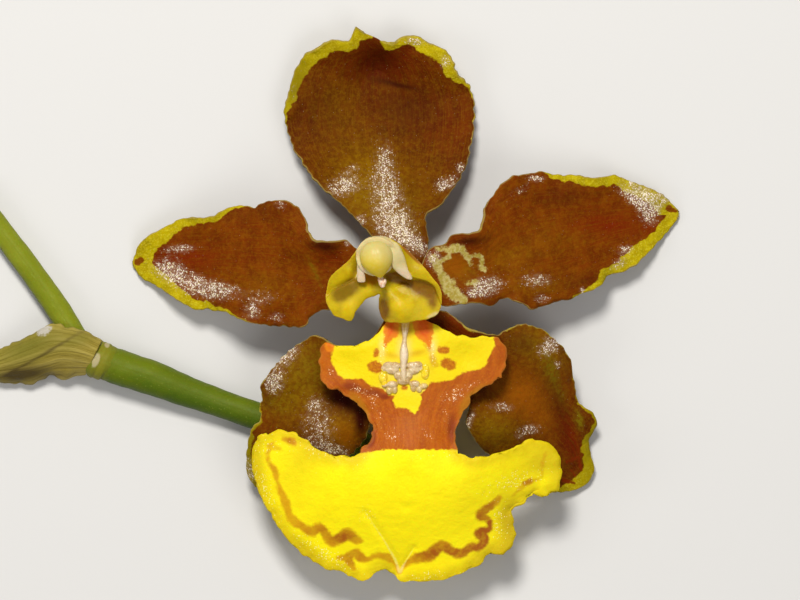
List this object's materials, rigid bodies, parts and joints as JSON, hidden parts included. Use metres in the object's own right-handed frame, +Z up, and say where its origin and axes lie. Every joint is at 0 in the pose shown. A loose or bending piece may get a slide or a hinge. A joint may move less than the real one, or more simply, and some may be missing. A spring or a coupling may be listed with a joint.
{
  "type": "oncidium orchid flower on a cut stalk",
  "caption": "Open oncidium orchid flower, lying face up on a short cut length of its own stalk, with waved sepals and petals, a broad lobed lip and a winged column.",
  "frame": {"origin": "on the surface that the flower lies on, under the middle of its overall box", "axes": "+X to the right of the flower as it faces up, away from the stalk, +Y towards the tip of the upper sepal, +Z up out of the face of the flower"},
  "size_m": [0.0659, 0.051, 0.0154],
  "materials": {
    "stalk": "smooth, faintly waxy green",
    "bract": "dry, papery and ribbed",
    "ovary": "smooth pale green",
    "sepal": "velvety brown that glitters, with a yellow margin",
    "petal": "velvety chestnut that glitters, with a yellow margin",
    "lip": "bright yellow with orange-brown bands, satin",
    "column": "waxy yellow and cream",
    "anther": "waxy pale yellow",
    "pollen": "waxy, pinkish cream"
  },
  "bodies": {
    "root": {"flower_stalk": "stalk", "stem_bract": "bract", "floral_bract": "bract", "pedicel": "ovary", "dorsal_sepal": "sepal", "lateral_sepal_left": "sepal", "lateral_sepal_right": "sepal", "petal_left": "petal", "petal_right": "petal", "lip": "lip", "column": "column", "anther_cap": "anther", "pollinarium": "pollen"}
  },
  "joints": []
}
